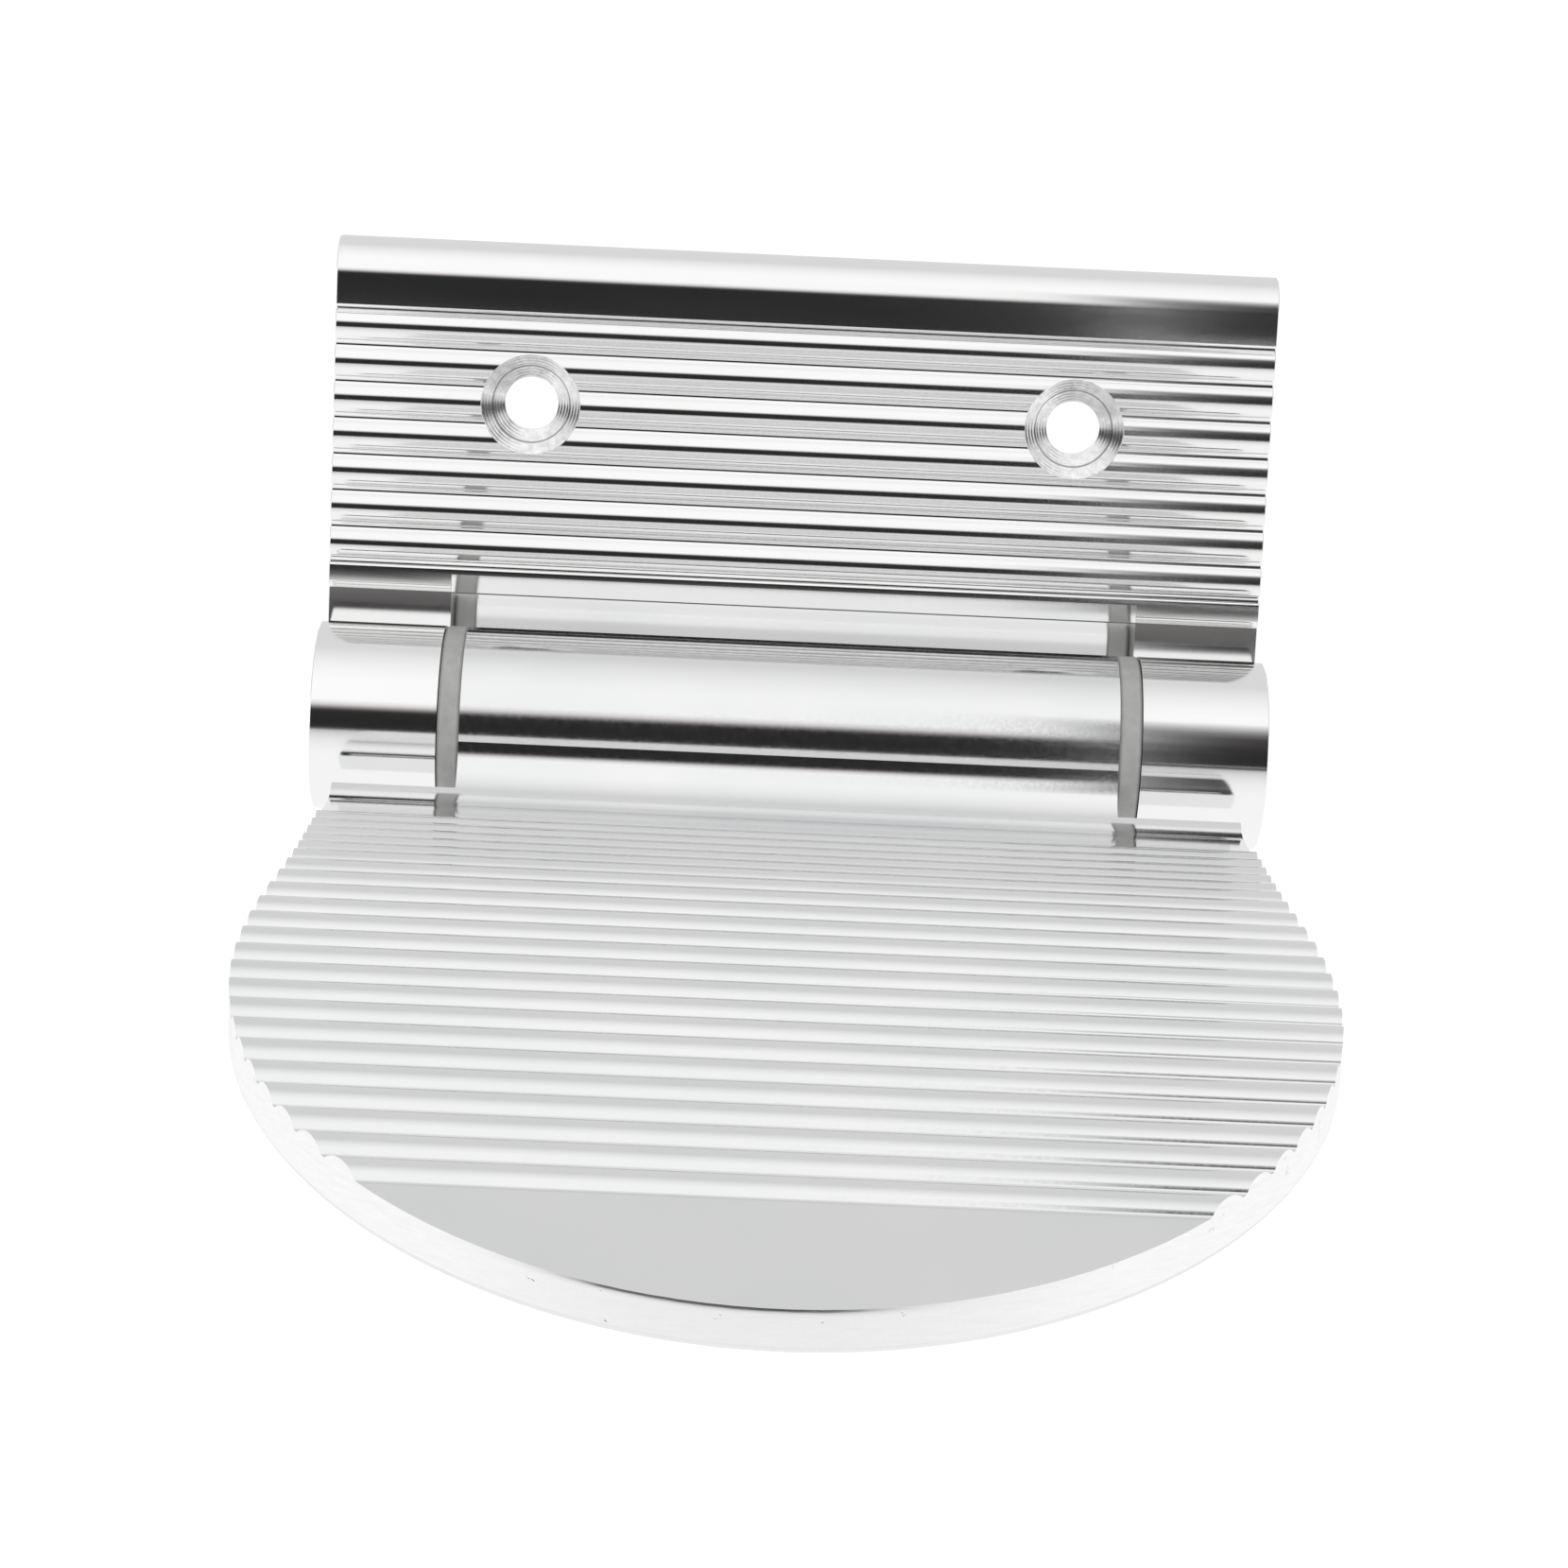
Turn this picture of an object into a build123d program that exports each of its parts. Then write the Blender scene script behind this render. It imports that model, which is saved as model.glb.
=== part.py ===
from build123d import *
import math
import os

os.makedirs("parts", exist_ok=True)

# Millimetres. X runs across the step, +Y points into the wall it is screwed to, +Z is up.
# The origin is on the wall face, midway between the two screw holes.

# wall plate
plate_w = 100.0
plate_t = 4.0
plate_top = 16.9
plate_bottom = -49.5
rib_pitch = 3.88
plate_crest_r = 2.20
plate_valley_r = 0.70
plate_ribs = 7
first_rib_z = 7.55
lip_bullnose_z = 12.5
lip_edge_r = 0.40
band_bottom = -19.6
band_round_r = 1.0
band_round_deg = 60.0
leaf_edge_r = 1.5
end_chamfer = 0.12

# screw holes
hole_spacing = 58.0
hole_r = 2.85
sink_r = 5.3
sink_wall = 0.85
sink_ledge = (4.15, 0.3)
sink_deg = 122.0

# hinge line
axis_y = -10.0
axis_z = -33.3
barrel_r = 10.0
upper_blend_r = 0.8
lower_blend_r = 3.0
knuckle_in = 36.8
barrel_half = 34.4
pin_r = 4.0
pin_half = 48.5
pin_chamfer = 0.5
pin_seat_r = 4.02

# window in the plate that the barrel turns in, with a sloping relief above it
window_top = -20.6
relief_top = -18.5
cove_mid = (-1.41, -22.92)
cove_foot_z = -25.8
window_bottom = -44.3

# tread
root_z = -39.5
root_blend_r = 6.0
tread_t = 3.6
bend_y = -54.0
bends = ((14.0, 100.0), (38.0, 363.0), (40.0, 974.0))
tread_crest_r = 2.00
tread_valley_r = 0.50
tread_ribs = 23
rear_groove_s = -19.15
tread_stock_end_s = 90.0
notch_y = -22.4
neck_half = 47.2
neck_end_y = -53.0
shoulder_half = 49.3
shoulder_y = -84.0
nose_len = 54.0
heel_rear_y = -4.05
heel_front_y = -14.0
heel_bottom = -48.5
rim_edge_r = 0.5
steep = 0.02
level = 0.9

# flanged bushes
flange_r = 10.0
flange_out = 36.72
sleeve_r = 5.5
sleeve_seat_r = 5.52
sleeve_len = 12.0
bush_bore_r = 4.05
barrel_bore_r = 4.4
bush_edge = 0.3

# grub screws that hold the pin
grub_x = 43.4
grub_r = 2.5
grub_seat_r = 2.52
grub_len = 5.4
grub_gap = 0.05
grub_hex_r = 1.45
grub_hex_depth = 2.2
grub_chamfer = 0.4

hinge = (axis_y, axis_z)


def wave_slope(crest_r, valley_r):
    # steepest slope of a row of ribs, where a crest arc runs into a valley arc
    return math.asin(rib_pitch / 2 / (crest_r + valley_r))


def tread_point(s, lift=0.0):
    # a point on the tread's top curve, s ahead of the line where it starts to drop
    y = bend_y - min(s, 0.0)
    z = root_z
    slope = 0.0
    left = max(s, 0.0)
    for length, radius in bends:
        step = min(left, length)
        ahead = slope + step / radius
        y -= radius * (math.sin(ahead) - math.sin(slope))
        z -= radius * (math.cos(slope) - math.cos(ahead))
        slope = ahead
        left -= step
    return (y - lift * math.sin(slope), z + lift * math.cos(slope))


# ---------------------------------------------------------------- wall plate
slope = wave_slope(plate_crest_r, plate_valley_r)
slope_deg = math.degrees(slope)
rib_h = (plate_crest_r + plate_valley_r) * (1 - math.cos(slope))
floor_y = -plate_t + rib_h
lip_valley_z = first_rib_z + rib_pitch / 2
band_valley_z = first_rib_z - (plate_ribs - 0.5) * rib_pitch
skirt_y = -plate_t + band_round_r * (1 - math.cos(math.radians(band_round_deg)))
skirt_top = band_bottom - band_round_r * math.sin(math.radians(band_round_deg))
upper_reach = barrel_r + upper_blend_r
upper_blend_y = skirt_y - upper_blend_r
upper_blend_z = axis_z + math.sqrt(upper_reach**2 - (upper_blend_y - axis_y) ** 2)
upper_deg = math.degrees(math.atan2(upper_blend_z - axis_z, upper_blend_y - axis_y))
lower_reach = barrel_r + lower_blend_r
lower_blend_y = -plate_t - lower_blend_r
lower_blend_z = axis_z - math.sqrt(lower_reach**2 - (lower_blend_y - axis_y) ** 2)
lower_deg = math.degrees(math.atan2(lower_blend_z - axis_z, lower_blend_y - axis_y))

with BuildPart() as wall_plate:
    with BuildSketch(Plane.YZ):
        with BuildLine():
            Line((0, plate_bottom), (0, plate_top))
            EllipticalCenterArc(
                (0, lip_bullnose_z), plate_t, plate_top - lip_bullnose_z, 90, arc_size=90
            )
            Line((-plate_t, lip_bullnose_z), (-plate_t, lip_valley_z + lip_edge_r))
            CenterArc((-plate_t + lip_edge_r, lip_valley_z + lip_edge_r), lip_edge_r, 180, 90)
            Line((-plate_t + lip_edge_r, lip_valley_z), (floor_y, lip_valley_z))
            CenterArc(
                (floor_y - plate_valley_r, lip_valley_z), plate_valley_r, 0, -slope_deg
            )
            for k in range(plate_ribs):
                crest_z = first_rib_z - k * rib_pitch
                CenterArc(
                    (-plate_t + plate_crest_r, crest_z),
                    plate_crest_r,
                    180 - slope_deg,
                    2 * slope_deg,
                )
                last = k == plate_ribs - 1
                CenterArc(
                    (floor_y - plate_valley_r, crest_z - rib_pitch / 2),
                    plate_valley_r,
                    slope_deg,
                    -slope_deg if last else -2 * slope_deg,
                )
            Line((floor_y, band_valley_z), (-plate_t + lip_edge_r, band_valley_z))
            CenterArc((-plate_t + lip_edge_r, band_valley_z - lip_edge_r), lip_edge_r, 90, 90)
            Line((-plate_t, band_valley_z - lip_edge_r), (-plate_t, band_bottom))
            CenterArc(
                (-plate_t + band_round_r, band_bottom), band_round_r, 180, band_round_deg
            )
            Line((skirt_y, skirt_top), (skirt_y, upper_blend_z))
            CenterArc((upper_blend_y, upper_blend_z), upper_blend_r, 0, upper_deg - 180)
            CenterArc(hinge, barrel_r, upper_deg, 360 + lower_deg - upper_deg)
            CenterArc(
                (lower_blend_y, lower_blend_z), lower_blend_r, 180 + lower_deg, -180 - lower_deg
            )
            Line((-plate_t, lower_blend_z), (-plate_t, plate_bottom + leaf_edge_r))
            CenterArc(
                (-plate_t + leaf_edge_r, plate_bottom + leaf_edge_r), leaf_edge_r, 180, 90
            )
            Line((-plate_t + leaf_edge_r, plate_bottom), (0, plate_bottom))
        make_face()
    extrude(amount=plate_w / 2, both=True)

    # window for the barrel, with the leaf below it left flat in front
    clear_y = axis_y - 2 * barrel_r
    clear_z = plate_bottom - plate_t
    with BuildSketch(Plane.YZ):
        with BuildLine():
            ThreePointArc((skirt_y, window_top), cove_mid, (0, cove_foot_z))
            Polyline(
                (0, cove_foot_z),
                (plate_t, cove_foot_z),
                (plate_t, window_bottom),
                (-plate_t, window_bottom),
                (-plate_t, clear_z),
                (clear_y, clear_z),
                (clear_y, relief_top),
                (-plate_t, relief_top),
                (skirt_y, window_top),
            )
        make_face()
    extrude(amount=knuckle_in, both=True, mode=Mode.SUBTRACT)

    # bore for the pin, seats for the grub screws, screw holes
    with BuildSketch(Plane.YZ):
        with Locations(hinge):
            Circle(pin_seat_r)
    extrude(amount=plate_w / 2, both=True, mode=Mode.SUBTRACT)
    with BuildSketch(Plane.XY.offset(axis_z)):
        with Locations((-grub_x, axis_y), (grub_x, axis_y)):
            Circle(grub_seat_r)
    extrude(amount=-2 * barrel_r, mode=Mode.SUBTRACT)
    for side in (-1, 1):
        front = Plane(origin=(side * hole_spacing / 2, -plate_t, 0), z_dir=(0, -1, 0))
        slope_of_sink = 1 / math.tan(math.radians(sink_deg / 2))
        ledge_r, ledge_drop = sink_ledge
        ledge_depth = sink_wall + (sink_r - ledge_r) * slope_of_sink
        floor_depth = ledge_depth + ledge_drop + (ledge_r - hole_r) * slope_of_sink
        with BuildSketch(front):
            Circle(hole_r)
        extrude(amount=-2 * plate_t, mode=Mode.SUBTRACT)
        with BuildSketch(Plane(front.origin, x_dir=(1, 0, 0), z_dir=(0, 0, 1))):
            with BuildLine():
                Polyline(
                    (0, 0),
                    (sink_r, 0),
                    (sink_r, sink_wall),
                    (ledge_r, ledge_depth),
                    (ledge_r, ledge_depth + ledge_drop),
                    (hole_r, floor_depth),
                    (0, floor_depth),
                    close=True,
                )
            make_face()
        axis = Axis(front.origin, (0, 1, 0))
        revolve(axis=axis, mode=Mode.SUBTRACT)

    # break the edges of the sawn ends
    ends = wall_plate.faces().filter_by(Axis.X).group_by(Axis.X)
    end_edges = [e for f in (*ends[0], *ends[-1]) for e in f.outer_wire().edges()]
    chamfer(end_edges, end_chamfer)

wall_plate.part.label = "wall_plate"
export_step(wall_plate.part, "parts/wall_plate.step")

# ---------------------------------------------------------------- tread
slope = wave_slope(tread_crest_r, tread_valley_r)
rib_h = (tread_crest_r + tread_valley_r) * (1 - math.cos(slope))
crest_s = tread_crest_r * math.sin(slope)
valley_s = tread_valley_r * math.sin(slope)
join_lift = tread_valley_r * (1 - math.cos(slope))
half_s = tread_valley_r * math.sin(slope / 2)
half_lift = tread_valley_r * (1 - math.cos(slope / 2))
front_groove_s = rear_groove_s + tread_ribs * rib_pitch
root_blend_z = root_z + root_blend_r
root_blend_y = axis_y - math.sqrt((barrel_r + root_blend_r) ** 2 - (axis_z - root_blend_z) ** 2)
root_deg = math.degrees(math.atan2(axis_z - root_blend_z, axis_y - root_blend_y))
under_z = root_z - tread_t
under_deg = 180 + math.degrees(math.asin((axis_z - under_z) / barrel_r))
under_y = axis_y + barrel_r * math.cos(math.radians(under_deg))

with BuildPart() as tread:
    with BuildSketch(Plane.YZ):
        with BuildLine():
            CenterArc(hinge, barrel_r, under_deg, 540 + root_deg - under_deg)
            CenterArc((root_blend_y, root_blend_z), root_blend_r, root_deg, -90 - root_deg)
            Line((root_blend_y, root_z), tread_point(rear_groove_s))
            ThreePointArc(
                tread_point(rear_groove_s),
                tread_point(rear_groove_s + half_s, half_lift),
                tread_point(rear_groove_s + valley_s, join_lift),
            )
            for k in range(tread_ribs):
                mid = rear_groove_s + (k + 0.5) * rib_pitch
                groove = mid + rib_pitch / 2
                ThreePointArc(
                    tread_point(mid - crest_s, join_lift),
                    tread_point(mid, rib_h),
                    tread_point(mid + crest_s, join_lift),
                )
                if k < tread_ribs - 1:
                    ThreePointArc(
                        tread_point(groove - valley_s, join_lift),
                        tread_point(groove),
                        tread_point(groove + valley_s, join_lift),
                    )
            ThreePointArc(
                tread_point(front_groove_s - valley_s, join_lift),
                tread_point(front_groove_s - half_s, half_lift),
                tread_point(front_groove_s),
            )
            ThreePointArc(
                tread_point(front_groove_s),
                tread_point((front_groove_s + tread_stock_end_s) / 2),
                tread_point(tread_stock_end_s),
            )
            Line(tread_point(tread_stock_end_s), tread_point(tread_stock_end_s, -tread_t))
            stop_s = tread_stock_end_s
            for start_s in (bends[0][0] + bends[1][0], bends[0][0], 0.0):
                ThreePointArc(
                    tread_point(stop_s, -tread_t),
                    tread_point((start_s + stop_s) / 2, -tread_t),
                    tread_point(start_s, -tread_t),
                )
                stop_s = start_s
            Line((bend_y, under_z), (under_y, under_z))
        make_face()
    extrude(amount=plate_w / 2, both=True)

    # plan outline: barrel, cut-back corners, neck, shoulders, rounded nose
    waist = ((neck_half + shoulder_half) / 2, (neck_end_y + shoulder_y) / 2)
    with BuildSketch(Plane.XY.offset(axis_z - 4 * barrel_r)) as plan:
        with BuildLine():
            Polyline(
                (-barrel_half, 0),
                (barrel_half, 0),
                (barrel_half, notch_y),
                (neck_half, notch_y),
                (neck_half, neck_end_y),
            )
            right = TangentArc((neck_half, neck_end_y), waist, tangent=(0, -1))
            TangentArc(waist, (shoulder_half, shoulder_y), tangent=right % 1)
            EllipticalCenterArc((0, shoulder_y), shoulder_half, nose_len, 180, arc_size=180)
            left = TangentArc(
                (-neck_half, neck_end_y), (-waist[0], waist[1]), tangent=(0, -1)
            )
            TangentArc((-waist[0], waist[1]), (-shoulder_half, shoulder_y), tangent=left % 1)
            Polyline(
                (-neck_half, neck_end_y),
                (-neck_half, notch_y),
                (-barrel_half, notch_y),
                (-barrel_half, 0),
            )
        make_face()
    extrude(amount=8 * barrel_r, mode=Mode.INTERSECT)

    # ease the lower edge of the sawn rim
    front_faces = tread.faces().filter_by(lambda f: f.center().Y < notch_y - rim_edge_r)
    rim = front_faces.filter_by(lambda f: abs(f.normal_at().Z) < steep)
    under = front_faces.filter_by(lambda f: f.normal_at().Z < -level)
    fillet([e for e in rim.edges() if any(e.is_same(u) for u in under.edges())], rim_edge_r)

    # heel under the barrel that bears on the plate's lower leaf when the step is down
    with BuildSketch(Plane.YZ):
        with BuildLine():
            Polyline(
                (heel_rear_y, axis_z - barrel_r / 2),
                (heel_rear_y, heel_bottom),
                (heel_front_y, heel_bottom),
                (heel_front_y, axis_z - barrel_r / 2),
                close=True,
            )
        make_face()
    extrude(amount=barrel_half, both=True)

    # bore for the pin, wider at both ends for the bushes
    with BuildSketch(Plane.YZ):
        with Locations(hinge):
            Circle(barrel_bore_r)
    extrude(amount=barrel_half, both=True, mode=Mode.SUBTRACT)
    for side in (-1, 1):
        with BuildSketch(Plane.YZ.offset(side * barrel_half)):
            with Locations(hinge):
                Circle(sleeve_seat_r)
        extrude(amount=-side * (sleeve_len + bush_edge), mode=Mode.SUBTRACT)

tread.part.label = "tread"
export_step(tread.part, "parts/tread.step")

# ---------------------------------------------------------------- hinge pin
with BuildPart() as hinge_pin:
    with BuildSketch(Plane.YZ):
        with Locations(hinge):
            Circle(pin_r)
    extrude(amount=pin_half, both=True)
    chamfer(hinge_pin.edges().filter_by(GeomType.CIRCLE), pin_chamfer)

hinge_pin.part.label = "hinge_pin"
export_step(hinge_pin.part, "parts/hinge_pin.step")

# ---------------------------------------------------------------- flanged bushes
with BuildPart() as bush_right:
    with BuildSketch(Plane.YZ.offset(barrel_half)):
        with Locations(hinge):
            Circle(flange_r)
    extrude(amount=flange_out - barrel_half)
    chamfer(bush_right.edges().filter_by(GeomType.CIRCLE), bush_edge)
    with BuildSketch(Plane.YZ.offset(barrel_half)):
        with Locations(hinge):
            Circle(sleeve_r)
    extrude(amount=-sleeve_len)
    with BuildSketch(Plane.YZ.offset(flange_out)):
        with Locations(hinge):
            Circle(bush_bore_r)
    extrude(amount=-sleeve_len - 2 * plate_t, mode=Mode.SUBTRACT)

with BuildPart() as bush_left:
    add(mirror(bush_right.part, about=Plane.YZ))

bush_right.part.label = "bush_right"
export_step(bush_right.part, "parts/bush_right.step")
bush_left.part.label = "bush_left"
export_step(bush_left.part, "parts/bush_left.step")

# ---------------------------------------------------------------- grub screws
grub_top = axis_z - pin_r - grub_gap
with BuildPart() as grub_right:
    with BuildSketch(Plane.XY.offset(grub_top)):
        with Locations((grub_x, axis_y)):
            Circle(grub_r)
    extrude(amount=-grub_len)
    chamfer(grub_right.edges().filter_by(GeomType.CIRCLE), grub_chamfer)
    with BuildSketch(Plane.XY.offset(grub_top - grub_len)):
        with Locations((grub_x, axis_y)):
            RegularPolygon(grub_hex_r, 6)
    extrude(amount=grub_hex_depth, mode=Mode.SUBTRACT)

with BuildPart() as grub_left:
    add(mirror(grub_right.part, about=Plane.YZ))

grub_right.part.label = "grub_right"
export_step(grub_right.part, "parts/grub_right.step")
grub_left.part.label = "grub_left"
export_step(grub_left.part, "parts/grub_left.step")
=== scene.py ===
import math

import bmesh
import bpy
from mathutils import Euler, Matrix, Vector


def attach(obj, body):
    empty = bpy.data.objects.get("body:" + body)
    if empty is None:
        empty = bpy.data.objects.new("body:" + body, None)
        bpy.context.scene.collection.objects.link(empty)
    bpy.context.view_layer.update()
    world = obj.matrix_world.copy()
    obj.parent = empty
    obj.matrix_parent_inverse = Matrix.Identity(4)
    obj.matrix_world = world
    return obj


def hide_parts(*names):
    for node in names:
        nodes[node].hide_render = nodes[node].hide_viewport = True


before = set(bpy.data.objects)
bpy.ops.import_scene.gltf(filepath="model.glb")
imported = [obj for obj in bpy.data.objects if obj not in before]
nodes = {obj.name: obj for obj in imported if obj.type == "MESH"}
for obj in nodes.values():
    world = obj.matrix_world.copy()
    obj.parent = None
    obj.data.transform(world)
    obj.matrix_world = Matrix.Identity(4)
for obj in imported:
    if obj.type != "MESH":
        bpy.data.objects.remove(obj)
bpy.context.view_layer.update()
MM = 0.001

# millimetres, in the frame's own axes
PITCH = 3.88
AXIS_Y, AXIS_Z, BARREL_R = -10.0, -33.3, 10.0
PLATE_T, PLATE_TOP, PLATE_BOTTOM, PLATE_HALF = 4.0, 16.9, -49.5, 50.0
FIRST_RIB_Z, PLATE_RIBS = 7.55, 7
PLATE_CREST_R, PLATE_VALLEY_R = 2.20, 0.70
PLATE_EASE = 0.12
SCREW_X, SCREW_R, SINK_R, LEDGE_R = 29.0, 2.85, 5.3, 4.15
SINK_STEPS = ((SINK_R, 0.85), (LEDGE_R, 1.487), (LEDGE_R, 1.787), (SCREW_R, 2.508))
PIN_BORE_R, GRUB_X, GRUB_R = 4.02, 43.4, 2.52
WINDOW_HALF, WINDOW_TOP, WINDOW_FLOOR = 36.8, -20.6, -44.3
LIP_GROOVE_Z = FIRST_RIB_Z + PITCH / 2
BAND_GROOVE_Z = LIP_GROOVE_Z - PLATE_RIBS * PITCH
TREAD_CREST_R, TREAD_VALLEY_R, TREAD_RIBS, TREAD_GROOVE_S = 2.00, 0.50, 23, -19.15
TREAD_START = (-54.0, -39.5)
TREAD_BENDS = ((14.0, 100.0), (38.0, 363.0), (40.0, 974.0))
TREAD_RIM_Y = -57.0
SHARP_DEG = 9


# ---------------------------------------------------------------- node helpers
def new_material(name):
    mat = bpy.data.materials.new(name)
    mat.use_nodes = True
    tree = mat.node_tree
    shader = tree.nodes["Principled BSDF"]
    return mat, tree, shader


def add(tree, kind, inputs=None, **settings):
    node = tree.nodes.new(kind)
    for key, value in settings.items():
        setattr(node, key, value)
    for socket, value in (inputs or {}).items():
        node.inputs[socket].default_value = value
    return node


def feed(tree, socket, value):
    """Sets a socket to a fixed value, or links it to another node's output."""
    if isinstance(value, (int, float, tuple)):
        socket.default_value = value
    else:
        tree.links.new(value, socket)


def object_coords(tree, scale=(1, 1, 1)):
    coords = add(tree, "ShaderNodeTexCoord")
    mapping = add(tree, "ShaderNodeMapping", inputs={"Scale": scale})
    tree.links.new(coords.outputs["Object"], mapping.inputs["Vector"])
    return mapping.outputs["Vector"]


def noise(tree, vector, scale, detail=4.0, roughness=0.55):
    node = add(
        tree,
        "ShaderNodeTexNoise",
        inputs={"Scale": scale, "Detail": detail, "Roughness": roughness},
    )
    tree.links.new(vector, node.inputs["Vector"])
    return node.outputs["Fac"]


def step(tree, value, start, stop, low=0.0, high=1.0):
    """low before start, high after stop, straight in between."""
    node = add(
        tree,
        "ShaderNodeMapRange",
        inputs={"From Min": start, "From Max": stop, "To Min": low, "To Max": high},
    )
    tree.links.new(value, node.inputs["Value"])
    return node.outputs["Result"]


def spread(tree, fac, low, high):
    """The middle of a noise's range stretched to run from low to high."""
    return step(tree, fac, 0.3, 0.7, low, high)


def mix(tree, kind, fac, first, second):
    """Blends two numbers, vectors or colours; kind is FLOAT, VECTOR or RGBA."""
    rank = ("FLOAT", "VECTOR", "RGBA").index(kind)
    node = add(tree, "ShaderNodeMix", data_type=kind)
    feed(tree, node.inputs[0], fac)
    feed(tree, node.inputs[2 + 2 * rank], first)
    feed(tree, node.inputs[3 + 2 * rank], second)
    return node.outputs[rank]


def tint(tree, fac, dark, light):
    return mix(tree, "RGBA", fac, (*dark, 1), (*light, 1))


def bump(tree, height, strength, distance, normal=None):
    node = add(tree, "ShaderNodeBump", inputs={"Strength": strength, "Distance": distance})
    tree.links.new(height, node.inputs["Height"])
    if normal is not None:
        tree.links.new(normal, node.inputs["Normal"])
    return node.outputs["Normal"]


# ---------------------------------------------------------------- masks in object space
def channel(tree, vector, axis):
    split = add(tree, "ShaderNodeSeparateXYZ")
    tree.links.new(vector, split.inputs["Vector"])
    return split.outputs[axis]


def maths(tree, operation, first, second=None):
    node = add(tree, "ShaderNodeMath", operation=operation)
    feed(tree, node.inputs[0], first)
    if second is not None:
        feed(tree, node.inputs[1], second)
    return node.outputs["Value"]


def product(tree, first, *others):
    for other in others:
        first = maths(tree, "MULTIPLY", first, other)
    return first


def size_of(tree, a, b):
    """The length of the flat vector (a, b)."""
    squares = maths(tree, "ADD", product(tree, a, a), product(tree, b, b))
    return maths(tree, "SQRT", squares)


def within(tree, value, low, high, soft):
    """1 between low and high, falling to 0 over soft outside them."""
    rising = step(tree, value, low - soft, low)
    falling = step(tree, value, high, high + soft, 1.0, 0.0)
    return product(tree, rising, falling)


def vector(tree, x, y, z):
    node = add(tree, "ShaderNodeCombineXYZ")
    for socket, value in zip(node.inputs, (x, y, z)):
        feed(tree, socket, value)
    return node.outputs["Vector"]


def to_world(tree, normal):
    node = add(
        tree,
        "ShaderNodeVectorTransform",
        vector_type="NORMAL",
        convert_from="OBJECT",
        convert_to="WORLD",
    )
    tree.links.new(normal, node.inputs["Vector"])
    return node.outputs["Vector"]


# ---------------------------------------------------------------- true normals of the extruded shapes
def not_an_end(tree, facing):
    """1 on the extruded sides, 0 on faces that look along x."""
    sideways = maths(tree, "ABSOLUTE", channel(tree, facing, "X"))
    return step(tree, sideways, 0.25, 0.35, 1.0, 0.0)


def round_barrel(tree, facing, y, z):
    """The exact normal where the surface lies on the hinge cylinder."""
    along_y = maths(tree, "SUBTRACT", y, AXIS_Y * MM)
    along_z = maths(tree, "SUBTRACT", z, AXIS_Z * MM)
    radius = size_of(tree, along_y, along_z)
    on_it = within(tree, radius, (BARREL_R - 0.04) * MM, (BARREL_R + 0.03) * MM, 0.01 * MM)
    on_it = product(tree, on_it, not_an_end(tree, facing))
    radial = vector(
        tree,
        0,
        maths(tree, "DIVIDE", along_y, radius),
        maths(tree, "DIVIDE", along_z, radius),
    )
    return mix(tree, "VECTOR", on_it, facing, radial)


def rib_lean(tree, ahead, crest_r, valley_r):
    """Sine of the lean of a ribbed surface, ahead being the way past a groove line."""
    pitch = PITCH * MM
    phase = maths(tree, "SUBTRACT", maths(tree, "FLOORED_MODULO", ahead, pitch), pitch / 2)
    away = maths(tree, "ABSOLUTE", phase)
    crest = maths(tree, "DIVIDE", away, crest_r * MM)
    groove = maths(tree, "DIVIDE", maths(tree, "SUBTRACT", pitch / 2, away), valley_r * MM)
    lean = maths(tree, "MINIMUM", crest, groove)
    return product(tree, lean, maths(tree, "SIGN", phase))


def cosine_of(tree, sine):
    rest = maths(tree, "SUBTRACT", 1.0, product(tree, sine, sine))
    return maths(tree, "SQRT", maths(tree, "MAXIMUM", rest, 0.0))


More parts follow.
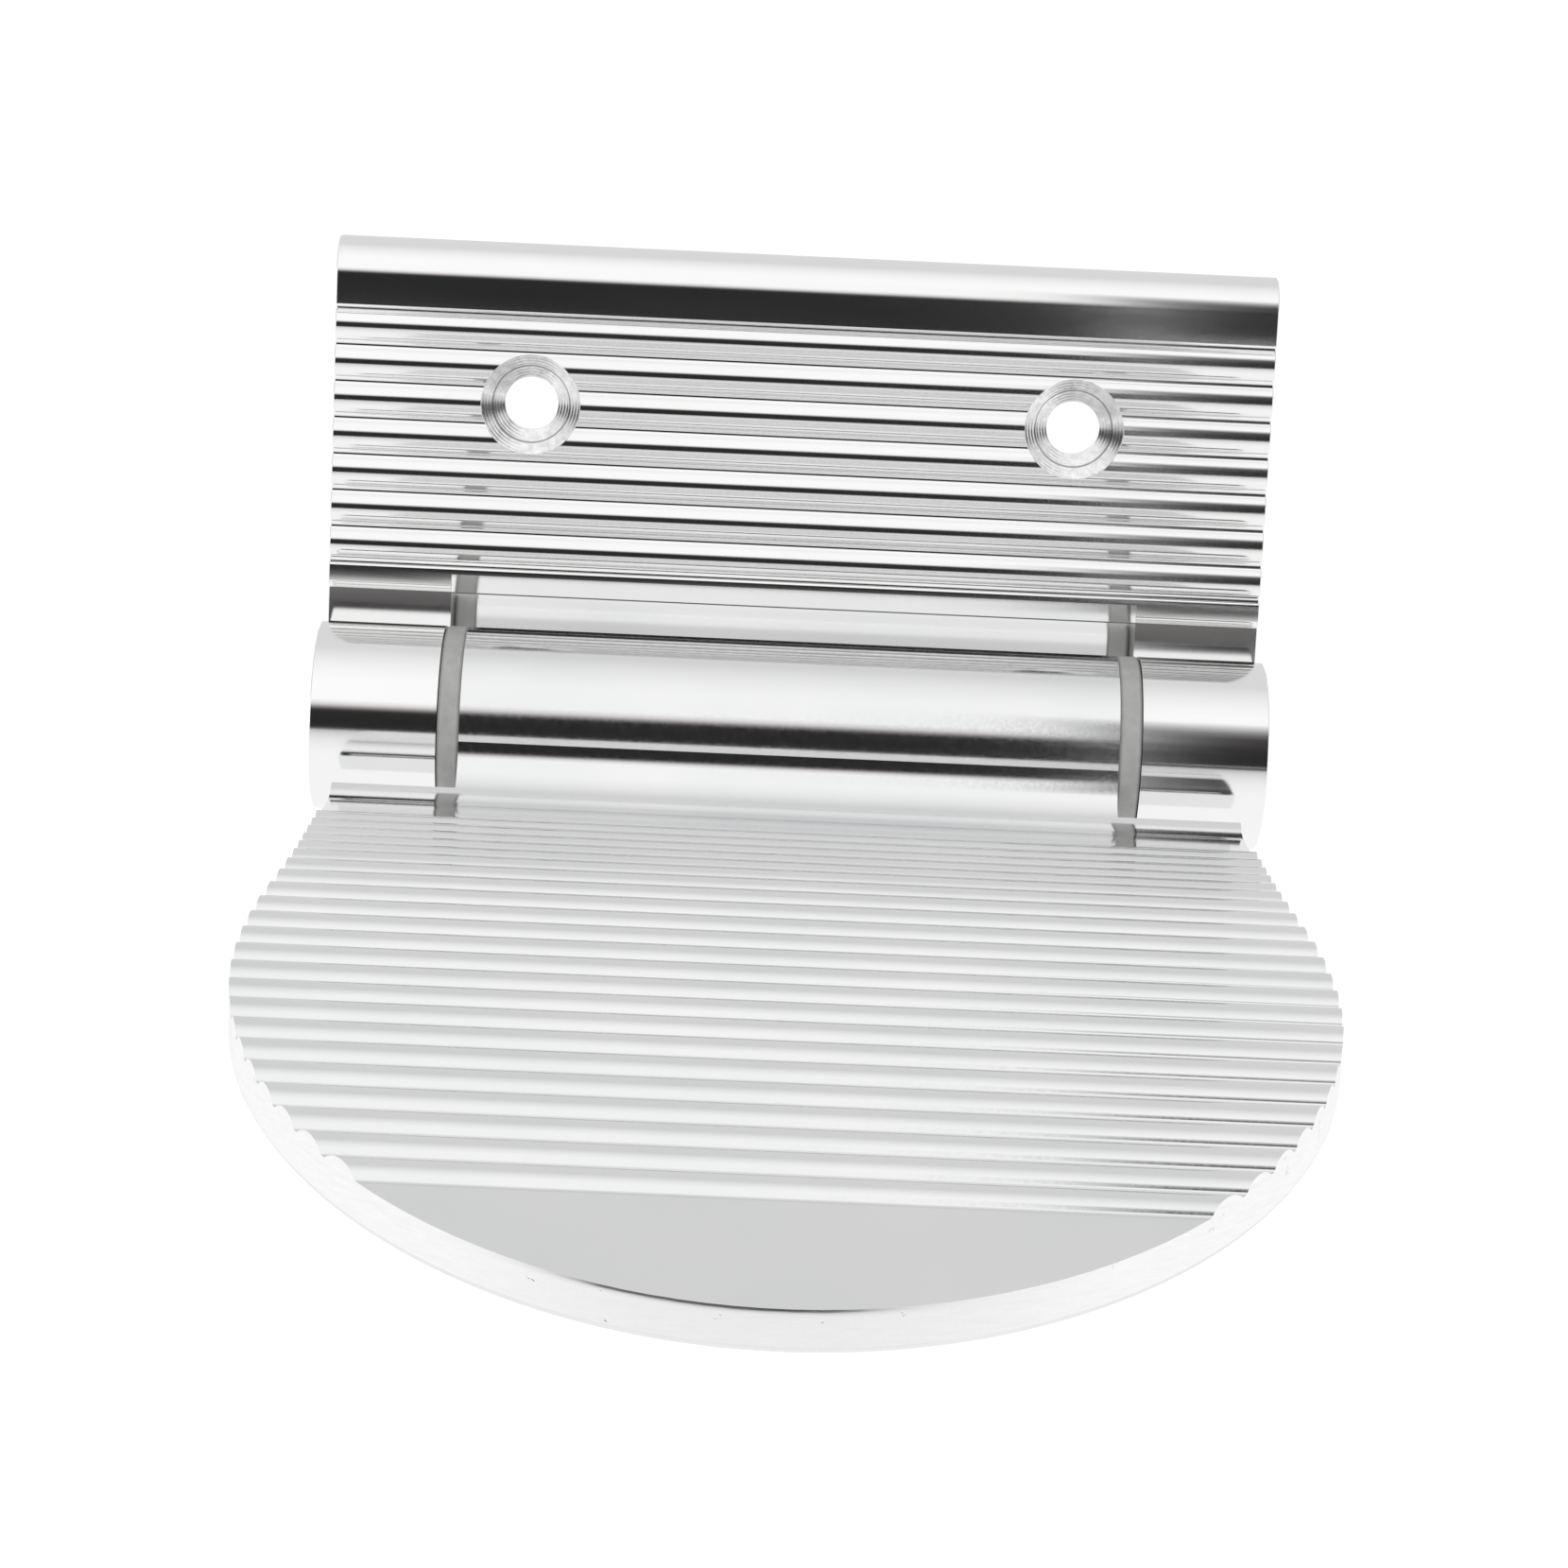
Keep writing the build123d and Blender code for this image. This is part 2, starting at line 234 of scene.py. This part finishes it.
# ---------------------------------------------------------------- materials
def plate_finish():
    """Polished extrusion, with the turned countersinks left as the cutter made them, and painted shade
    darkening their ledge step.
    """
    mat, tree, shader = new_material("plate_polished")
    shader.inputs["Metallic"].default_value = 1.0
    coords = add(tree, "ShaderNodeTexCoord")
    where, facing = coords.outputs["Object"], coords.outputs["Normal"]
    x, y, z = (channel(tree, where, axis) for axis in "XYZ")
    from_middle = maths(tree, "ABSOLUTE", x)
    radius = size_of(tree, maths(tree, "SUBTRACT", from_middle, SCREW_X * MM), z)
    turned = step(tree, radius, (SINK_R + 0.01) * MM, (SINK_R + 0.03) * MM, 1.0, 0.0)
    turned = product(tree, turned, step(tree, y, -0.05 * MM, -0.02 * MM, 1.0, 0.0))

    # exact normals of the ribs and of the knuckles, where the face is neither turned nor eased
    front = step(tree, y, -3.22 * MM, -3.19 * MM, 1.0, 0.0)
    plain = maths(tree, "SUBTRACT", 1.0, turned)
    eased_x = PLATE_HALF - PLATE_EASE
    inner = step(tree, from_middle, (eased_x - 0.03) * MM, eased_x * MM, 1.0, 0.0)
    ribs = within(tree, z, (BAND_GROOVE_Z + 0.01) * MM, (LIP_GROOVE_Z - 0.01) * MM, 0.005 * MM)
    past = maths(tree, "SUBTRACT", z, BAND_GROOVE_Z * MM)
    lean = rib_lean(tree, past, PLATE_CREST_R, PLATE_VALLEY_R)
    leaning = vector(tree, 0, product(tree, cosine_of(tree, lean), -1.0), lean)
    normal = mix(tree, "VECTOR", product(tree, front, plain, inner, ribs), facing, leaning)
    normal = round_barrel(tree, normal, y, z)

    clouds = noise(tree, object_coords(tree), 55.0, 3.0)
    haze = noise(tree, object_coords(tree, (20, 260, 260)), 1.0, 2.0)
    polish = tint(tree, spread(tree, clouds, 0, 1), (0.90, 0.90, 0.895), (0.93, 0.93, 0.93))
    feed_step = 0.31
    rings = maths(tree, "SINE", product(tree, radius, 2 * math.pi / (feed_step * MM)))
    grain = noise(tree, object_coords(tree), 1500.0, 3.0)
    # painted shade: a thin dark ring at the countersink's ledge step, subtracted from the cut metal's
    # grain tone
    ledge_shade = within(tree, radius, (LEDGE_R - 0.09) * MM, LEDGE_R * MM, 0.05 * MM)
    grain_and_ledge_shade = maths(tree, "MAXIMUM", maths(tree, "SUBTRACT", spread(tree, grain, 0.6, 1), ledge_shade), 0.0)
    cut_metal_and_ledge_shade = tint(tree, grain_and_ledge_shade, (0.38, 0.38, 0.38), (0.96, 0.96, 0.96))
    feed(tree, shader.inputs["Base Color"], mix(tree, "RGBA", turned, polish, cut_metal_and_ledge_shade))
    smooth = spread(tree, haze, 0.085, 0.115)
    feed(tree, shader.inputs["Roughness"], mix(tree, "FLOAT", turned, smooth, 0.20))
    ridges = product(tree, rings, turned)
    tree.links.new(bump(tree, ridges, 0.4, 0.000008, to_world(tree, normal)), shader.inputs["Normal"])
    return mat


def tread_shape(tree, facing, y, z):
    """The exact normal of the tread's curved, ribbed top, and the height over that top."""
    (start_y, start_z), slope, start_s = TREAD_START, 0.0, 0.0
    ahead = product(tree, maths(tree, "SUBTRACT", y, start_y * MM), -1.0)
    lift = maths(tree, "SUBTRACT", z, start_z * MM)
    tilt = 0.0
    for length, bend_r in TREAD_BENDS:
        centre_y = start_y + bend_r * math.sin(slope)
        centre_z = start_z - bend_r * math.cos(slope)
        out = maths(tree, "SUBTRACT", centre_y * MM, y)
        over = maths(tree, "SUBTRACT", z, centre_z * MM)
        angle = maths(tree, "ARCTAN2", out, over)
        here = maths(tree, "GREATER_THAN", angle, slope)
        turned = product(tree, maths(tree, "SUBTRACT", angle, slope), bend_r * MM)
        reach = maths(tree, "ADD", turned, start_s * MM)
        height = maths(tree, "SUBTRACT", size_of(tree, out, over), bend_r * MM)
        ahead = mix(tree, "FLOAT", here, ahead, reach)
        tilt = mix(tree, "FLOAT", here, tilt, angle)
        lift = mix(tree, "FLOAT", here, lift, height)
        turn = slope + length / bend_r
        start_y -= bend_r * (math.sin(turn) - math.sin(slope))
        start_z -= bend_r * (math.cos(slope) - math.cos(turn))
        slope, start_s = turn, start_s + length
    past = maths(tree, "SUBTRACT", ahead, TREAD_GROOVE_S * MM)
    ribbed_end = TREAD_RIBS * PITCH * MM
    ribbed = step(tree, past, ribbed_end, ribbed_end + 0.01 * MM, 1.0, 0.0)
    lean = product(tree, rib_lean(tree, past, TREAD_CREST_R, TREAD_VALLEY_R), ribbed)
    whole = maths(tree, "ADD", tilt, maths(tree, "ARCSINE", lean))
    back = product(tree, maths(tree, "SINE", whole), -1.0)
    normal = vector(tree, 0, back, maths(tree, "COSINE", whole))
    on_top = product(
        tree,
        step(tree, lift, -0.08 * MM, -0.05 * MM),
        step(tree, past, 0.01 * MM, 0.02 * MM),
        not_an_end(tree, facing),
        step(tree, channel(tree, facing, "Z"), 0.08, 0.12),
    )
    return mix(tree, "VECTOR", on_top, facing, normal), lift


def tread_finish():
    """Polished top with a fine orange-peel; a sanded rim with small pits and a softened edge."""
    mat, tree, shader = new_material("tread_polished")
    shader.inputs["Metallic"].default_value = 1.0
    coords = add(tree, "ShaderNodeTexCoord")
    where, facing = coords.outputs["Object"], coords.outputs["Normal"]
    x, y, z = (channel(tree, where, axis) for axis in "XYZ")
    shaped, lift = tread_shape(tree, facing, y, z)
    normal = round_barrel(tree, shaped, y, z)
    clouds = noise(tree, object_coords(tree), 60.0, 4.0)
    peel = noise(tree, object_coords(tree), 2600.0, 2.0)
    polish = tint(tree, spread(tree, clouds, 0, 1), (0.83, 0.835, 0.84), (0.87, 0.87, 0.87))
    upright = step(tree, maths(tree, "ABSOLUTE", channel(tree, facing, "Z")), 0.05, 0.1, 1.0, 0.0)
    ahead = step(tree, y, (TREAD_RIM_Y - 0.5) * MM, (TREAD_RIM_Y + 0.5) * MM, 1.0, 0.0)
    rim = product(tree, upright, ahead)
    sanding = noise(tree, object_coords(tree, (350, 350, 2600)), 1.0, 4.0)
    sanded = tint(tree, spread(tree, sanding, 0, 1), (0.93, 0.93, 0.93), (0.99, 0.99, 0.985))
    feed(tree, shader.inputs["Base Color"], mix(tree, "RGBA", rim, polish, sanded))
    # the rim leans down a little, and at the nose its softened upper edge leans back
    nose = within(tree, x, -14 * MM, 4 * MM, 14 * MM)
    soft = product(tree, rim, nose, step(tree, lift, -0.6 * MM, -0.15 * MM))
    normal = mix(tree, "VECTOR", product(tree, rim, 0.09), normal, (0, 0, -1))
    normal = mix(tree, "VECTOR", product(tree, soft, 0.17), normal, (0, 0, 1))
    smooth, sandy = spread(tree, peel, 0.08, 0.14), spread(tree, sanding, 0.20, 0.30)
    rough = mix(tree, "FLOAT", rim, smooth, sandy)
    feed(tree, shader.inputs["Roughness"], mix(tree, "FLOAT", soft, rough, 0.19))
    pits = step(tree, noise(tree, object_coords(tree), 520.0, 3.0, 0.7), 0.24, 0.33)
    dents = product(tree, maths(tree, "SUBTRACT", pits, 1.0), rim)
    scratched = bump(tree, product(tree, sanding, rim), 0.12, 0.00003, to_world(tree, normal))
    pitted = bump(tree, dents, 0.35, 0.0002, scratched)
    tree.links.new(bump(tree, peel, 0.06, 0.00001, pitted), shader.inputs["Normal"])
    return mat


def nylon():
    mat, tree, shader = new_material("nylon_grey")
    grain = noise(tree, object_coords(tree), 900.0, 5.0)
    tree.links.new(
        tint(tree, spread(tree, grain, 0, 1), (0.40, 0.40, 0.395), (0.47, 0.47, 0.46)),
        shader.inputs["Base Color"],
    )
    tree.links.new(spread(tree, grain, 0.45, 0.6), shader.inputs["Roughness"])
    tree.links.new(bump(tree, grain, 0.1, 0.00003), shader.inputs["Normal"])
    return mat


def steel(name, shade):
    mat, tree, shader = new_material(name)
    shader.inputs["Metallic"].default_value = 1.0
    grain = noise(tree, object_coords(tree, (40, 900, 900)), 1.0, 4.0)
    tree.links.new(
        tint(tree, spread(tree, grain, 0, 1), (shade * 0.9,) * 3, (shade,) * 3),
        shader.inputs["Base Color"],
    )
    tree.links.new(spread(tree, grain, 0.2, 0.38), shader.inputs["Roughness"])
    tree.links.new(bump(tree, grain, 0.1, 0.00003), shader.inputs["Normal"])
    return mat


# ---------------------------------------------------------------- the plate, a finely curved extrusion
def arc(centre, radius, start, turn, step_deg, squeeze=1.0):
    """Points along an arc in the (y, z) plane, angles in degrees; squeeze scales it in z."""
    count = max(2, math.ceil(abs(turn) / step_deg))
    points = []
    for k in range(count + 1):
        angle = math.radians(start + turn * k / count)
        across, up = radius * math.cos(angle), radius * squeeze * math.sin(angle)
        points.append((centre[0] + across, centre[1] + up))
    return points


def tidy(points):
    """The closed outline without the points that fall on the one before."""
    kept = []
    for p in points:
        if not kept or math.dist(p, kept[-1]) > 1e-4:
            kept.append(p)
    if math.dist(kept[0], kept[-1]) < 1e-4:
        kept.pop()
    return kept


def inset(points, gap):
    """The closed outline moved inwards by gap, whichever way round it runs."""
    area = sum(a[0] * b[1] - b[0] * a[1] for a, b in zip(points, points[1:] + points[:1]))
    side = 1 if area > 0 else -1
    moved = []
    for k, here in enumerate(points):
        before, after = points[k - 1], points[(k + 1) % len(points)]
        one = Vector((here[0] - before[0], here[1] - before[1])).normalized()
        two = Vector((after[0] - here[0], after[1] - here[1])).normalized()
        out = Vector((-(one.y + two.y), one.x + two.x)) * side
        reach = gap / max(0.35, out.length / 2)
        out.normalize()
        moved.append((here[0] + out.x * reach, here[1] + out.y * reach))
    return moved


def skin(name, rings):
    """A closed solid through rings of equally many points, in metres."""
    n = len(rings[0])
    verts = [point for ring in rings for point in ring]
    last = len(verts) - n
    faces = [tuple(range(n)), tuple(reversed(range(last, last + n)))]
    for low in range(0, last, n):
        faces += [(low + k, low + n + k, low + n + (k + 1) % n, low + (k + 1) % n) for k in range(n)]
    mesh = bpy.data.meshes.new(name)
    mesh.from_pydata(verts, [], faces)
    mesh.validate()
    work = bmesh.new()
    work.from_mesh(mesh)
    bmesh.ops.recalc_face_normals(work, faces=work.faces)
    work.to_mesh(mesh)
    work.free()
    obj = bpy.data.objects.new(name, mesh)
    bpy.context.scene.collection.objects.link(obj)
    return obj


def loft(name, sections):
    """A closed solid through sections, each (x, [(y, z), ...]) in millimetres."""
    return skin(name, [[(x * MM, y * MM, z * MM) for y, z in ring] for x, ring in sections])


def turned_cutter(name, profile, matrix, count=128):
    """A solid of revolution about z from (radius, z) pairs, in millimetres, placed by matrix."""
    turns = [2 * math.pi * k / count for k in range(count)]
    rings = [
        [matrix @ Vector((r * math.cos(turn), r * math.sin(turn), z)) * MM for turn in turns]
        for r, z in profile
    ]
    return skin(name, rings)


def cut(blank, cutters):
    """Takes the cutters out of the blank, and bakes the result into one smooth-shaded mesh."""
    for cutter in cutters:
        modifier = blank.modifiers.new(cutter.name, "BOOLEAN")
        modifier.operation = "DIFFERENCE"
        modifier.solver = "EXACT"
        modifier.object = cutter
    bpy.context.view_layer.update()
    graph = bpy.context.evaluated_depsgraph_get()
    mesh = bpy.data.meshes.new_from_object(blank.evaluated_get(graph), depsgraph=graph)
    blank.modifiers.clear()
    blank.data = mesh
    for cutter in cutters:
        bpy.data.objects.remove(cutter)
    for face in mesh.polygons:
        face.use_smooth = True
    mesh.set_sharp_from_angle(angle=math.radians(SHARP_DEG))
    return blank


def plate_outline():
    steep = math.asin(PITCH / 2 / (PLATE_CREST_R + PLATE_VALLEY_R))
    lean = math.degrees(steep)
    front = -PLATE_T
    floor_y = front + (PLATE_CREST_R + PLATE_VALLEY_R) * (1 - math.cos(steep))
    bullnose_z, edge_r, band_z, band_r, leaf_r = 12.5, 0.40, -19.6, 1.0, 1.5
    upper_r, lower_r = 0.8, 3.0
    squeeze = (PLATE_TOP - bullnose_z) / PLATE_T
    points = [(0, PLATE_BOTTOM), (0, PLATE_TOP)]
    points += arc((0, bullnose_z), PLATE_T, 90, 90, 2.5, squeeze)
    points += arc((front + edge_r, LIP_GROOVE_Z + edge_r), edge_r, 180, 90, 6)
    points += arc((floor_y - PLATE_VALLEY_R, LIP_GROOVE_Z), PLATE_VALLEY_R, 0, -lean, 4)
    for k in range(PLATE_RIBS):
        crest_z = FIRST_RIB_Z - k * PITCH
        points += arc((front + PLATE_CREST_R, crest_z), PLATE_CREST_R, 180 - lean, 2 * lean, 4)
        turn = -lean if k == PLATE_RIBS - 1 else -2 * lean
        points += arc((floor_y - PLATE_VALLEY_R, crest_z - PITCH / 2), PLATE_VALLEY_R, lean, turn, 4)
    points += arc((front + edge_r, BAND_GROOVE_Z - edge_r), edge_r, 90, 90, 6)
    points += arc((front + band_r, band_z), band_r, 180, 60, 5)
    skirt_y = front + band_r * 0.5
    upper_y = skirt_y - upper_r
    upper_z = AXIS_Z + math.sqrt((BARREL_R + upper_r) ** 2 - (upper_y - AXIS_Y) ** 2)
    upper = math.degrees(math.atan2(upper_z - AXIS_Z, upper_y - AXIS_Y))
    lower_y = front - lower_r
    lower_z = AXIS_Z - math.sqrt((BARREL_R + lower_r) ** 2 - (lower_y - AXIS_Y) ** 2)
    lower = math.degrees(math.atan2(lower_z - AXIS_Z, lower_y - AXIS_Y))
    points += arc((upper_y, upper_z), upper_r, 0, upper - 180, 5)
    points += arc((AXIS_Y, AXIS_Z), BARREL_R, upper, 360 + lower - upper, 1.5)
    points += arc((lower_y, lower_z), lower_r, 180 + lower, -180 - lower, 3)
    points += arc((front + leaf_r, PLATE_BOTTOM + leaf_r), leaf_r, 180, 90, 5)
    return tidy(points), skirt_y


def window_outline(skirt_y):
    """The barrel's opening: a hollow upper edge, a sloping relief above it, a flat leaf below."""
    (ay, az), (by, bz), (cy, cz) = (skirt_y, WINDOW_TOP), (-1.41, -22.92), (0, -25.8)
    d = 2 * (ay * (bz - cz) + by * (cz - az) + cy * (az - bz))
    a2, b2, c2 = ay**2 + az**2, by**2 + bz**2, cy**2 + cz**2
    my = (a2 * (bz - cz) + b2 * (cz - az) + c2 * (az - bz)) / d
    mz = (a2 * (cy - by) + b2 * (ay - cy) + c2 * (by - ay)) / d
    first = math.degrees(math.atan2(az - mz, ay - my))
    last = math.degrees(math.atan2(cz - mz, cy - my))
    turn = (last - first + 180) % 360 - 180
    cove = arc((my, mz), math.dist((ay, az), (my, mz)), first, turn, 2)
    behind, ahead, under, relief_top = 4, -30, -53.5, -18.5
    back = [(behind, cz), (behind, WINDOW_FLOOR), (-PLATE_T, WINDOW_FLOOR)]
    front = [(-PLATE_T, under), (ahead, under), (ahead, relief_top), (-PLATE_T, relief_top)]
    return tidy(cove + back + front)


def cut_plate():
    outline, skirt_y = plate_outline()
    inner, eased_x = inset(outline, PLATE_EASE), PLATE_HALF - PLATE_EASE
    sections = [(-PLATE_HALF, inner), (-eased_x, outline), (eased_x, outline), (PLATE_HALF, inner)]
    blank = loft("wall_plate_shown", sections)
    window = window_outline(skirt_y)
    cutters = [loft("cut_window", [(-WINDOW_HALF, window), (WINDOW_HALF, window)])]
    along_x = Matrix.Translation((0, AXIS_Y, AXIS_Z)) @ Matrix.Rotation(math.radians(90), 4, "Y")
    reach = PLATE_HALF + 2
    cutters.append(turned_cutter("cut_bore", [(PIN_BORE_R, -reach), (PIN_BORE_R, reach)], along_x))
    for side in (-1, 1):
        down = Matrix.Translation((side * GRUB_X, AXIS_Y, AXIS_Z))
        seat = [(GRUB_R, -20), (GRUB_R, 0)]
        cutters.append(turned_cutter(f"cut_grub_{side}", seat, down, 64))
        into = Matrix.Translation((side * SCREW_X, 0, 0)) @ Matrix.Rotation(math.radians(-90), 4, "X")
        cone = [(r, depth - PLATE_T) for r, depth in SINK_STEPS]
        sink = [(SINK_R, -PLATE_T - 1)] + cone + [(SCREW_R, 1)]
        cutters.append(turned_cutter(f"cut_screw_{side}", sink, into))
    plate = cut(blank, cutters)
    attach(plate, "plate")
    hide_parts("wall_plate")
    return plate


def dress(obj, mat):
    obj.data.materials.clear()
    obj.data.materials.append(mat)


finish = {
    "tread": tread_finish(),
    "hinge_pin": steel("pin_ground", 0.62),
    "bush_left": nylon(),
    "grub_left": steel("grub_steel", 0.45),
}
finish["bush_right"] = finish["bush_left"]
finish["grub_right"] = finish["grub_left"]
for name, mat in finish.items():
    dress(nodes[name], mat)
dress(cut_plate(), plate_finish())

# ---------------------------------------------------------------- stage
EYE_Z = -0.02  # metres, the height from which the dark cards' angles are counted
scene = bpy.context.scene
scene.view_settings.view_transform = "Standard"


def card(name, size, at, turn=(0, 0, 0), colour=(0, 0, 0), glow=1.0):
    """A flat glowing card of the studio, x by y metres, turned about its middle."""
    half_x, half_y = size[0] / 2, size[1] / 2
    mesh = bpy.data.meshes.new(name)
    signs = ((-1, -1), (1, -1), (1, 1), (-1, 1))
    corners = [(i * half_x, j * half_y, 0) for i, j in signs]
    mesh.from_pydata(corners, [], [(0, 1, 2, 3)])
    obj = bpy.data.objects.new(name, mesh)
    obj.location = at
    obj.rotation_euler = [math.radians(a) for a in turn]
    scene.collection.objects.link(obj)
    mat, _, shader = new_material(name)
    shader.inputs["Base Color"].default_value = (*colour, 1)
    shader.inputs["Roughness"].default_value = 1.0
    shader.inputs["Specular IOR Level"].default_value = 0.0
    shader.inputs["Emission Color"].default_value = (1, 1, 1, 1)
    shader.inputs["Emission Strength"].default_value = glow
    mesh.materials.append(mat)
    return obj


card("floor", (8, 8), (0, 0, -0.35), colour=(0.93, 0.93, 0.93), glow=0.32)


def only_mirrored(obj):
    """Keep a card out of the picture and out of the lighting, and leave it in reflections."""
    obj.visible_camera = False
    obj.visible_shadow = False
    obj.visible_diffuse = False


def rise(degrees):
    """The height that a line from EYE_Z at that slope reaches in a metre."""
    return EYE_Z + math.tan(math.radians(degrees))


def shaded_table():
    """The white table top as the metal mirrors it, greyer towards its far edge."""
    obj = card("table", (3.0, 2.2), (0, -0.1, -0.18))
    tree = obj.data.materials[0].node_tree
    shader = tree.nodes["Principled BSDF"]
    where = add(tree, "ShaderNodeTexCoord").outputs["Object"]
    level = step(tree, channel(tree, where, "Y"), -0.75, -0.10, 0.58, 0.98)
    tree.links.new(level, shader.inputs["Emission Strength"])
    only_mirrored(obj)


def dark_card(name, centre_x, width, low, high, side_fades, heights, edge_tint):
    """A dark upright card a metre in front; heights lists (degrees, density) from its foot up."""
    foot, head = rise(low), rise(high)
    obj = card(name, (width, head - foot), (centre_x, -1.0, (foot + head) / 2), (90, 0, 0))
    tree = obj.data.materials[0].node_tree
    shader = tree.nodes["Principled BSDF"]
    where = add(tree, "ShaderNodeTexCoord").outputs["Object"]
    across, up = channel(tree, where, "X"), channel(tree, where, "Y")
    half = (head - foot) / 2
    ramp = add(tree, "ShaderNodeValToRGB")
    tree.links.new(step(tree, up, -half, half), ramp.inputs["Fac"])
    stops = ramp.color_ramp.elements
    while len(stops) > 1:
        stops.remove(stops[-1])
    for k, (degrees, density) in enumerate(heights):
        place = (rise(degrees) - foot) / (head - foot)
        stop = stops[0] if k == 0 else stops.new(place)
        stop.position = place
        stop.color = (density, density, density, 1)
    solid = ramp.outputs["Color"]
    for fade, sign in zip(side_fades, (-1, 1)):
        if fade:
            outward = product(tree, across, sign)
            solid = product(tree, solid, step(tree, outward, width / 2 - fade, width / 2, 1.0, 0.0))
    tree.links.new(solid, shader.inputs["Alpha"])
    shade = tint(tree, solid, edge_tint, (0.019, 0.019, 0.019))
    tree.links.new(shade, shader.inputs["Emission Color"])
    only_mirrored(obj)


shaded_table()
# The unlit room beyond the table, and a dark shape standing to the right in front of it.
dark_card(
    "dark_room", 0, 4.0, -12, 27, (0, 0),
    (
        (-12, 0), (-9.9, 0.15), (-9.3, 0.5), (-8.8, 0.82), (-8.1, 0.88), (-7, 0.97),
        (-6, 1), (15, 1), (18, 0.8), (22, 0.3), (27, 0),
    ),
    (0.17, 0.075, 0.058),
)
dark_card(
    "dark_figure", 0.57, 0.9, -6, 47, (0.025, 0.2),
    ((-6, 0), (-4, 1), (28, 1), (34, 0.88), (40, 0.55), (47, 0)),
    (0.05, 0.055, 0.065),
)

world = bpy.data.worlds.new("studio")
scene.world = world
world.use_nodes = True
sky = world.node_tree
background = sky.nodes["Background"]
background.inputs["Color"].default_value = (1, 1, 1, 1)
direction = add(sky, "ShaderNodeTexCoord").outputs["Generated"]
toward = add(sky, "ShaderNodeVectorMath", operation="DOT_PRODUCT")
toward.inputs[1].default_value = (0, -math.cos(math.radians(38)), math.sin(math.radians(38)))
sky.links.new(direction, toward.inputs[0])
overhead = step(sky, toward.outputs["Value"], 0.45, 0.95, 0.74, 1.04)
horizon = step(sky, channel(sky, direction, "Z"), 0.1, 0.35, 1.04, 0.0)
sky.links.new(maths(sky, "MAXIMUM", overhead, horizon), background.inputs["Strength"])

# ---------------------------------------------------------------- camera
lens = bpy.data.cameras.new("camera")
lens.sensor_width = 36.0
lens.lens = 94.74
lens.clip_start, lens.clip_end = 0.01, 50.0
camera = bpy.data.objects.new("camera", lens)
camera.location = (-5.3 * MM, -443.3 * MM, 39.6 * MM)
forward = Vector((0.01150755, 0.98403547, -0.17760004))
camera.rotation_mode = "QUATERNION"
upright = forward.to_track_quat("-Z", "Y")
camera.rotation_quaternion = upright @ Euler((0, 0, math.radians(2.68))).to_quaternion()
scene.collection.objects.link(camera)
scene.camera = camera
